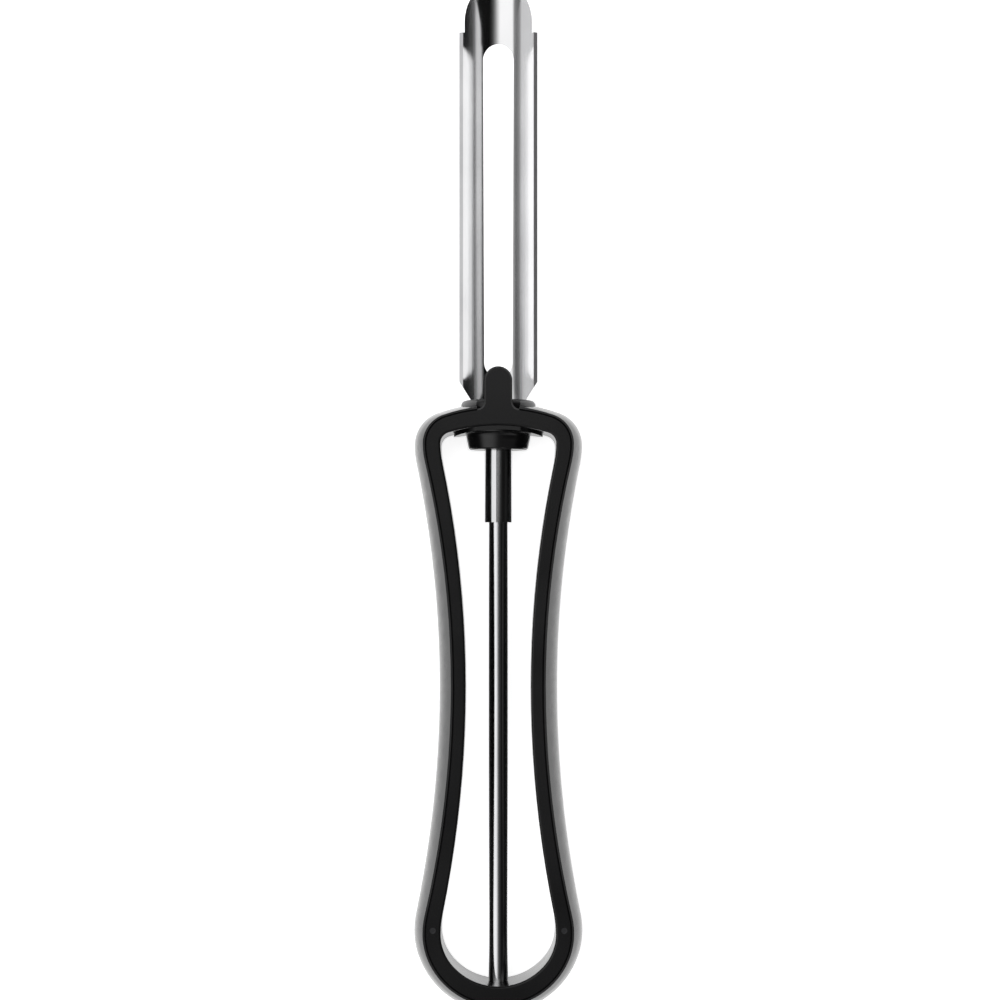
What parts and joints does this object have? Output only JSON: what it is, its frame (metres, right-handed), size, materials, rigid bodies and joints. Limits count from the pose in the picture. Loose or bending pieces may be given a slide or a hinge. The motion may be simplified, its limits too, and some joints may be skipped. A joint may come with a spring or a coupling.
{
  "type": "vegetable peeler",
  "caption": "Swivel-blade vegetable peeler with a slotted steel blade, a long pivot rod and an open hourglass loop handle with a soft grip.",
  "frame": {"origin": "middle of the bounding box in X and Y, on the plane of the handle's flat back, which the peeler rests on", "axes": "+Y along the length towards the blade's tip, +X across the width, +Z the front, the side the blade's channel opens to"},
  "size_m": [0.0302, 0.1856, 0.014],
  "materials": {
    "frame_plastic": "black moulded plastic with a fine satin sheen",
    "grip_rubber": "black soft-touch moulding, satin",
    "bush_plastic": "black moulded plastic, smooth",
    "blade_steel": "stainless steel sheet, finely satin with ground slot edges",
    "rod_steel": "bright drawn stainless steel wire"
  },
  "bodies": {
    "handle": {"handle_frame": "frame_plastic", "soft_grip": "grip_rubber", "bearing_bush": "bush_plastic"},
    "swivel_blade": {"blade": "blade_steel", "pivot_rod": "rod_steel"}
  },
  "joints": [
    {"name": "blade_swivel", "type": "hinge", "parent": "handle", "child": "swivel_blade", "pos_m": [0, 0.012, 0.007], "axis": [0, 1, 0], "range_deg": [-40, 40]}
  ]
}
